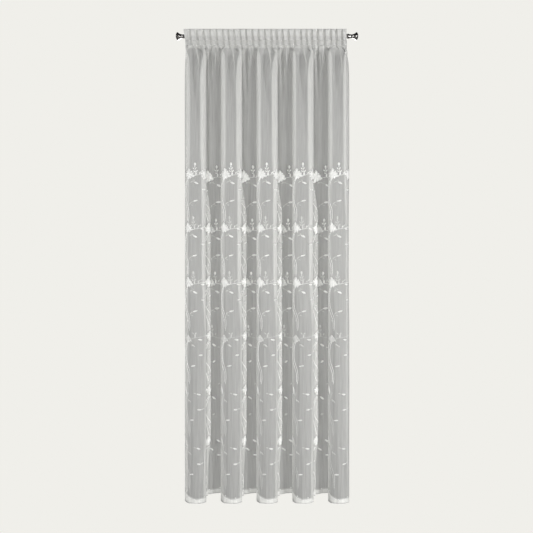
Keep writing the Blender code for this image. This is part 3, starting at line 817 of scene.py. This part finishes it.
def build_stitches():
    """The rows that hold the tape, and the sewing of the bottom and side hems."""
    thread = Thread()
    for row in STITCH_ROWS:
        line = cloth_line(row, GRID_S)
        arc = np.concatenate([[0], np.cumsum(np.linalg.norm(np.diff(line, axis=0), axis=1))])
        for middle in np.arange(0.004, arc[-1] - 0.004, STITCH_STEP * 1.3):
            s, width = np.interp([middle, middle + STITCH], arc, GRID_S)
            add_stitch(thread, (s + width) / 2, row, (width - s) / 2, STITCH_WIDTH * 0.9, 0.0003)
    z = HEM_Z + HEM_DEEP - 0.0015
    for middle in np.arange(0.006, WIDTH - 0.006, STITCH_STEP):
        s = middle / WIDTH
        add_stitch(thread, s, float(along_seam(z, s)), STITCH / 2 / WIDTH, STITCH_WIDTH / 2, 0.0003)
    for side in (SIDE_HEM - 0.0015, WIDTH - SIDE_HEM + 0.0015):
        for z in np.arange(HEM_Z + HEM_DEEP + 0.004, TAPE_BOTTOM_Z - 0.004, STITCH_STEP * 1.6):
            add_stitch(thread, side / WIDTH, z, STITCH_WIDTH / 2 / WIDTH, STITCH / 2, 0.0003)
    return thread.build("sewing_stitches")


# ---------------------------------------------------------------- materials
def new_material(name):
    mat = bpy.data.materials.new(name)
    mat.use_nodes = True
    tree = mat.node_tree
    return mat, tree, tree.nodes["Principled BSDF"]


def node(tree, kind, **settings):
    made = tree.nodes.new(kind)
    for key, value in settings.items():
        setattr(made, key, value)
    return made


def link(tree, a, b):
    tree.links.new(a, b)


def ramp(tree, factor, stops):
    made = node(tree, "ShaderNodeValToRGB")
    elements = made.color_ramp.elements
    while len(elements) > 1:
        elements.remove(elements[-1])
    elements[0].position, elements[0].color = stops[0][0], (*stops[0][1], 1)
    for position, colour in stops[1:]:
        e = elements.new(position)
        e.color = (*colour, 1)
    link(tree, factor, made.inputs["Fac"])
    return made.outputs["Color"]


VOILE_ALPHA = 0.50
FRILL_ALPHA = 0.84       # the doubled frill above the rod
POCKET_ALPHA = 0.66      # where it is drawn together over the tape
BODY_UNDER_PAINTED_HEM_LIGHT = 0.797      # painted light: the single voile's colour as a share of the double hem's, which is painted lighter than the same cloth
HEM_ALPHA = 0.66         # the double hem


def voile_material(drop):
    """White voile: fine vertical slubs in its colour and its openness, denser where it is sewn double, with painted
    light making its double hem lighter than the single cloth.
    """
    mat, tree, shader = new_material("voile_cloth")
    coords = node(tree, "ShaderNodeTexCoord")
    stretch = node(tree, "ShaderNodeMapping")
    stretch.inputs["Scale"].default_value = (420.0, 7.0, 1.0)
    link(tree, coords.outputs["UV"], stretch.inputs["Vector"])
    slub = node(tree, "ShaderNodeTexNoise")
    slub.inputs["Scale"].default_value = 1.0
    slub.inputs["Detail"].default_value = 2.0
    link(tree, stretch.outputs["Vector"], slub.inputs["Vector"])
    colour = ramp(tree, slub.outputs["Fac"], [(0.30, (0.86, 0.86, 0.835)), (0.70, (0.945, 0.945, 0.918))])
    openness = node(tree, "ShaderNodeMapRange")
    openness.inputs["From Min"].default_value = 0.30
    openness.inputs["From Max"].default_value = 0.70
    openness.inputs["To Min"].default_value = -0.035
    openness.inputs["To Max"].default_value = 0.035
    link(tree, slub.outputs["Fac"], openness.inputs["Value"])
    split = node(tree, "ShaderNodeSeparateXYZ")
    link(tree, coords.outputs["UV"], split.inputs["Vector"])
    down = node(tree, "ShaderNodeMapRange")
    down.inputs["From Min"].default_value = 0.0
    down.inputs["From Max"].default_value = -drop
    link(tree, split.outputs["Y"], down.inputs["Value"])
    frill, pocket, body, hem = (FRILL_ALPHA,) * 3, (POCKET_ALPHA,) * 3, (VOILE_ALPHA,) * 3, (HEM_ALPHA,) * 3
    frill_ends = (HEAD_TURN + TOP_Z + 0.004) / drop
    pocket_ends = (HEAD_TURN + TOP_Z - TAPE_BOTTOM_Z) / drop
    hem_starts = 1 - 3 * HEM_DEEP / drop
    density = ramp(tree, down.outputs["Result"], [
        (0.0, frill), (frill_ends, frill), (frill_ends + 0.003, pocket), (pocket_ends, (0.52,) * 3), (pocket_ends + 0.012, body),
        (hem_starts - 0.0004, body), (hem_starts, hem), (1.0, hem)
    ])
    # Painted light: the single cloth's colour is scaled down and the double hem's is left at full, so the hem is
    # painted lighter than the same cloth above it.
    painted_hem_light = ramp(tree, down.outputs["Result"], [(0.0, (BODY_UNDER_PAINTED_HEM_LIGHT,) * 3), (hem_starts - 0.0004, (BODY_UNDER_PAINTED_HEM_LIGHT,) * 3), (hem_starts, (1.0,) * 3)])
    tint = node(tree, "ShaderNodeVectorMath", operation="MULTIPLY")
    link(tree, colour, tint.inputs[0])
    link(tree, painted_hem_light, tint.inputs[1])
    link(tree, tint.outputs["Vector"], shader.inputs["Base Color"])
    both = node(tree, "ShaderNodeMath", operation="ADD")
    link(tree, openness.outputs["Result"], both.inputs[0])
    link(tree, density, both.inputs[1])
    link(tree, both.outputs["Value"], shader.inputs["Alpha"])
    weave = node(tree, "ShaderNodeTexNoise")
    weave.inputs["Scale"].default_value = 900.0
    weave.inputs["Detail"].default_value = 1.0
    link(tree, coords.outputs["UV"], weave.inputs["Vector"])
    bump = node(tree, "ShaderNodeBump")
    bump.inputs["Strength"].default_value = 0.15
    bump.inputs["Distance"].default_value = 0.0003
    link(tree, weave.outputs["Fac"], bump.inputs["Height"])
    link(tree, bump.outputs["Normal"], shader.inputs["Normal"])
    shader.inputs["Roughness"].default_value = 0.85
    shader.inputs["Specular IOR Level"].default_value = 0.25
    shader.inputs["Sheen Weight"].default_value = 0.25
    shader.inputs["Sheen Roughness"].default_value = 0.5
    return mat


def tape_material(length):
    """A see-through woven tape, denser along its two edges and where its two cords run."""
    mat, tree, shader = new_material("tape_weave")
    coords = node(tree, "ShaderNodeTexCoord")
    wave = node(tree, "ShaderNodeTexWave", wave_type="BANDS", bands_direction="X")
    wave.inputs["Scale"].default_value = 180.0
    wave.inputs["Distortion"].default_value = 1.5
    wave.inputs["Detail"].default_value = 1.0
    link(tree, coords.outputs["UV"], wave.inputs["Vector"])
    colour = ramp(tree, wave.outputs["Fac"], [(0.0, (0.64, 0.64, 0.62)), (1.0, (0.74, 0.74, 0.72))])
    link(tree, colour, shader.inputs["Base Color"])
    split = node(tree, "ShaderNodeSeparateXYZ")
    link(tree, coords.outputs["UV"], split.inputs["Vector"])
    across = node(tree, "ShaderNodeMapRange")
    across.inputs["From Min"].default_value = 0.0
    across.inputs["From Max"].default_value = -length
    link(tree, split.outputs["Y"], across.inputs["Value"])
    thin, dense, cord = (0.36,) * 3, (0.62,) * 3, (0.88,) * 3
    cords = [1 - (row - TAPE_BOTTOM_Z) / length for row in STITCH_ROWS]
    stops = [(0.0, dense), (0.035, dense), (0.05, thin)]
    for place in cords:
        stops += [(place - 0.022, thin), (place - 0.012, cord), (place + 0.012, cord), (place + 0.022, thin)]
    stops += [(0.965, thin), (0.98, dense)]
    link(tree, ramp(tree, across.outputs["Result"], stops), shader.inputs["Alpha"])
    bump = node(tree, "ShaderNodeBump")
    bump.inputs["Strength"].default_value = 0.4
    bump.inputs["Distance"].default_value = 0.0004
    link(tree, wave.outputs["Fac"], bump.inputs["Height"])
    link(tree, bump.outputs["Normal"], shader.inputs["Normal"])
    shader.inputs["Roughness"].default_value = 0.8
    return mat


def thread_material(name, shade, stripes, alpha=1.0):
    """Glossy white embroidery cotton with its stitches lying across the motif."""
    mat, tree, shader = new_material(name)
    coords = node(tree, "ShaderNodeTexCoord")
    wave = node(tree, "ShaderNodeTexWave", wave_type="BANDS", bands_direction="X")
    wave.inputs["Scale"].default_value = stripes
    wave.inputs["Distortion"].default_value = 0.6
    wave.inputs["Detail"].default_value = 1.0
    link(tree, coords.outputs["UV"], wave.inputs["Vector"])
    low, high = (shade - 0.05,) * 3, (shade,) * 3
    colour = ramp(tree, wave.outputs["Fac"], [(0.0, (low[0], low[1], low[2] * 0.975)), (1.0, (high[0], high[1], high[2] * 0.975))])
    link(tree, colour, shader.inputs["Base Color"])
    bump = node(tree, "ShaderNodeBump")
    bump.inputs["Strength"].default_value = 0.5
    bump.inputs["Distance"].default_value = 0.0002
    link(tree, wave.outputs["Fac"], bump.inputs["Height"])
    link(tree, bump.outputs["Normal"], shader.inputs["Normal"])
    shader.inputs["Alpha"].default_value = alpha
    shader.inputs["Roughness"].default_value = 0.5
    shader.inputs["Sheen Weight"].default_value = 0.3
    shader.inputs["Sheen Roughness"].default_value = 0.5
    return mat


def metal_material(name, dark, light, roughness):
    mat, tree, shader = new_material(name)
    coords = node(tree, "ShaderNodeTexCoord")
    stretch = node(tree, "ShaderNodeMapping")
    stretch.inputs["Scale"].default_value = (30.0, 400.0, 400.0)
    link(tree, coords.outputs["Object"], stretch.inputs["Vector"])
    grain = node(tree, "ShaderNodeTexNoise")
    grain.inputs["Scale"].default_value = 1.0
    grain.inputs["Detail"].default_value = 3.0
    link(tree, stretch.outputs["Vector"], grain.inputs["Vector"])
    link(tree, ramp(tree, grain.outputs["Fac"], [(0.3, dark), (0.7, light)]), shader.inputs["Base Color"])
    bump = node(tree, "ShaderNodeBump")
    bump.inputs["Strength"].default_value = 0.05
    bump.inputs["Distance"].default_value = 0.0001
    link(tree, grain.outputs["Fac"], bump.inputs["Height"])
    link(tree, bump.outputs["Normal"], shader.inputs["Normal"])
    shader.inputs["Metallic"].default_value = 1.0
    shader.inputs["Roughness"].default_value = roughness
    return mat


# ---------------------------------------------------------------- build
panel, panel_flat = build_panel()
panel.data.materials.append(voile_material(panel_flat[1]))
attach(panel, "root")
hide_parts("curtain_panel")

tape, tape_flat = build_tape()
tape.data.materials.append(tape_material(tape_flat[1]))
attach(tape, "root")
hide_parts("heading_tape")

sprigs, blossoms, stems, outlines = build_sprigs()
stitches = build_stitches()
cotton = thread_material("embroidery_cotton", 0.94, 340.0)
open_cotton = thread_material("embroidery_open_cotton", 0.94, 340.0, alpha=0.84)
fine_cotton = thread_material("embroidery_fine_cotton", 0.94, 340.0, alpha=0.55)
sewing = thread_material("sewing_thread", 0.86, 700.0)
for piece, mat in ((sprigs, cotton), (blossoms, open_cotton), (stems, cotton), (outlines, fine_cotton), (stitches, sewing)):
    piece.data.materials.append(mat)
    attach(piece, "root")

steel = metal_material("rod_metal", (0.30, 0.29, 0.28), (0.38, 0.37, 0.36), 0.48)
polished = metal_material("finial_polish", (0.26, 0.25, 0.245), (0.33, 0.32, 0.31), 0.20)
for name, mat in (("rod", steel), ("finial_left", polished), ("finial_right", polished)):
    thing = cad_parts[name]
    if thing.material_slots:
        for s in thing.material_slots:
            s.material = mat
    else:
        thing.data.materials.append(mat)

# ---------------------------------------------------------------- stage
BACKDROP = (0.871, 0.863, 0.823)
DIM = 0.051


def seen_directly(tree):
    """1 for what the camera sees with no cloth in between, else 0."""
    path = node(tree, "ShaderNodeLightPath")
    clear = node(tree, "ShaderNodeMath", operation="LESS_THAN")
    link(tree, path.outputs["Transparent Depth"], clear.inputs[0])
    clear.inputs[1].default_value = 0.5
    both = node(tree, "ShaderNodeMath", operation="MULTIPLY")
    link(tree, path.outputs["Is Camera Ray"], both.inputs[0])
    link(tree, clear.outputs["Value"], both.inputs[1])
    return both.outputs["Value"], path


world = bpy.data.worlds.new("studio")
bpy.context.scene.world = world
world.use_nodes = True
tree = world.node_tree
tree.nodes.clear()
direct, _ = seen_directly(tree)
pale = node(tree, "ShaderNodeBackground")
pale.inputs["Color"].default_value = (*BACKDROP, 1)
dim = node(tree, "ShaderNodeBackground")
dim.inputs["Color"].default_value = (DIM, DIM, DIM * 0.98, 1)
mix = node(tree, "ShaderNodeMixShader")
link(tree, direct, mix.inputs["Fac"])
link(tree, dim.outputs["Background"], mix.inputs[1])
link(tree, pale.outputs["Background"], mix.inputs[2])
out = node(tree, "ShaderNodeOutputWorld")
link(tree, mix.outputs["Shader"], out.inputs["Surface"])

floor = mesh_object("studio_floor", [(-9, -9, FLOOR_Z), (9, -9, FLOOR_Z), (9, 9, FLOOR_Z), (-9, 9, FLOOR_Z)], [(0, 1, 2, 3)], False)
floor_mat = bpy.data.materials.new("studio_floor_paint")
floor_mat.use_nodes = True
tree = floor_mat.node_tree
tree.nodes.clear()
direct, path = seen_directly(tree)
paint = node(tree, "ShaderNodeEmission")
paint.inputs["Color"].default_value = (*BACKDROP, 1)
matte = node(tree, "ShaderNodeBsdfDiffuse")
matte.inputs["Color"].default_value = (0.25, 0.25, 0.245, 1)
through = node(tree, "ShaderNodeEmission")
through.inputs["Color"].default_value = (DIM, DIM, DIM * 0.98, 1)
behind = node(tree, "ShaderNodeMath", operation="GREATER_THAN")
link(tree, path.outputs["Transparent Depth"], behind.inputs[0])
behind.inputs[1].default_value = 0.5
mix1 = node(tree, "ShaderNodeMixShader")
link(tree, behind.outputs["Value"], mix1.inputs["Fac"])
link(tree, matte.outputs["BSDF"], mix1.inputs[1])
link(tree, through.outputs["Emission"], mix1.inputs[2])
mix2 = node(tree, "ShaderNodeMixShader")
link(tree, direct, mix2.inputs["Fac"])
link(tree, mix1.outputs["Shader"], mix2.inputs[1])
link(tree, paint.outputs["Emission"], mix2.inputs[2])
out = node(tree, "ShaderNodeOutputMaterial")
link(tree, mix2.outputs["Shader"], out.inputs["Surface"])
floor.data.materials.append(floor_mat)


def area_light(name, place, target, size, power):
    data = bpy.data.lights.new(name, "AREA")
    data.shape = "RECTANGLE"
    data.size, data.size_y = size
    data.energy = power
    lamp = bpy.data.objects.new(name, data)
    bpy.context.scene.collection.objects.link(lamp)
    lamp.location = place
    from mathutils import Vector

    lamp.rotation_euler = (Vector(target) - Vector(place)).to_track_quat("-Z", "Y").to_euler()
    return lamp


for name, bearing, height, away, size, power in (
    # bearing from the front in degrees, height of the lamp above the target, distance, size, watts
    ("key_right",    43, -1.11, 4.6, (1.6, 2.0), 297),
    ("front_soft",   -8,  0.00, 4.6, (1.6, 3.6), 126),
    ("side_left",   -75,  0.00, 4.6, (1.6, 3.6), 118),
    ("behind",      180,  0.40, 4.6, (2.0, 4.0), 275),
):
    turn = math.radians(bearing)
    near = math.sqrt(away**2 - height**2)
    target = (0, 0, -1.25)
    area_light(name, (near * math.sin(turn), -near * math.cos(turn), target[2] + height), target, size, power)

camera_data = bpy.data.cameras.new("camera")
camera_data.sensor_width = 36.0
camera_data.lens = 36.0 * 2.5 / (533 * METRES_PER_PIXEL)
camera_data.shift_y = -(266.5 - AXIS_PIXEL) / 533
camera_data.clip_end = 60
camera = bpy.data.objects.new("camera", camera_data)
bpy.context.scene.collection.objects.link(camera)
camera.location = CAMERA
camera.rotation_euler = (math.pi / 2, 0, 0)
bpy.context.scene.camera = camera

bpy.context.scene.view_settings.view_transform = "Standard"
